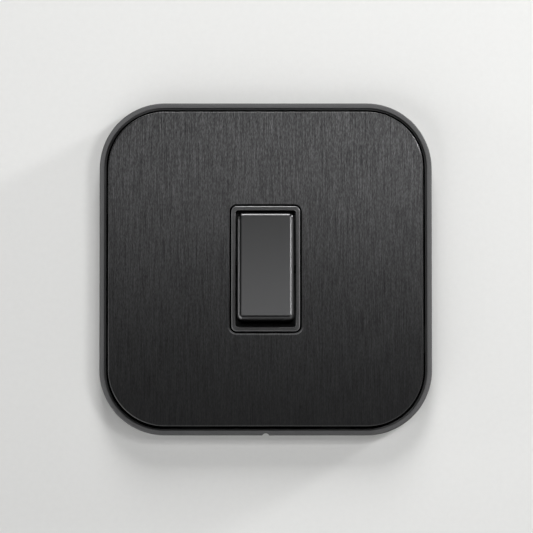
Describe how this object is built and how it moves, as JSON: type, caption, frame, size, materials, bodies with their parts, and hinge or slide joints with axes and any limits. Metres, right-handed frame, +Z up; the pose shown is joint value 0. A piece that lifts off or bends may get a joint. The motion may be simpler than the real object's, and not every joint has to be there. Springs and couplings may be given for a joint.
{
  "type": "rocker wall switch",
  "caption": "Square soft-cornered wall switch: a brushed metal clip-on plate in a slim plastic frame, with a metal rocker that tilts to rock a changeover contact blade.",
  "frame": {"origin": "midway between the two fixing screws, on the wall's surface", "axes": "+Z up, +X to the right as seen from the room, +Y into the wall; the rocker faces -Y"},
  "size_m": [0.095, 0.0339, 0.095],
  "materials": {
    "plate_metal": "vertically brushed dark steel",
    "rocker_metal": "satin",
    "frame_plastic": "fine matt texture",
    "bezel_plastic": "fine spark-eroded grain",
    "black_plastic": "moulded matt",
    "zinc_steel": "bright zinc plated",
    "spring_bronze": "rolled strip",
    "brass": "machined",
    "silver": "satin",
    "nylon": "natural nylon"
  },
  "bodies": {
    "switch_case": {"front_plate": "plate_metal", "plate_carrier": "black_plastic", "base_frame": "frame_plastic", "mounting_strap": "zinc_steel", "earth_terminal": "brass", "earth_spring": "spring_bronze", "spring_rivet": "brass", "fixing_screws": "zinc_steel", "switch_housing": "bezel_plastic", "rear_housing": "black_plastic", "housing_screws": "zinc_steel", "fulcrum_bracket": "spring_bronze", "common_terminal": "brass", "line_1_contact": "spring_bronze", "line_1_terminal": "brass", "line_2_contact": "spring_bronze", "line_2_terminal": "brass", "fixed_contact_tips": "silver", "terminal_screws": "brass"},
    "rocker": {"rocker_cap": "rocker_metal", "rocker_body": "black_plastic", "plunger_spring": "zinc_steel"},
    "plunger": {"plunger": "nylon"},
    "contact_blade": {"moving_contact": "spring_bronze", "moving_contact_tips": "silver"}
  },
  "joints": [
    {"name": "rocker_tilt", "type": "hinge", "parent": "switch_case", "child": "rocker", "pos_m": [0, -0.0031, 0], "axis": [1, 0, 0], "range_deg": [0, 14]},
    {"name": "blade_rock", "type": "hinge", "parent": "switch_case", "child": "contact_blade", "pos_m": [0, 0.0091, 0], "axis": [1, 0, 0], "range_deg": [-16.8, 0]},
    {"name": "plunger_slide", "type": "slide", "parent": "rocker", "child": "plunger", "axis": [0, -0.9925, 0.1219], "range_m": [0, 0.0012], "stiffness_N_per_m": 500, "springref_m": -0.002, "deforming": ["plunger_spring"]}
  ],
  "couplings": [
    {"joint": "blade_rock", "follows": "rocker_tilt", "ratio": -1.2}
  ]
}
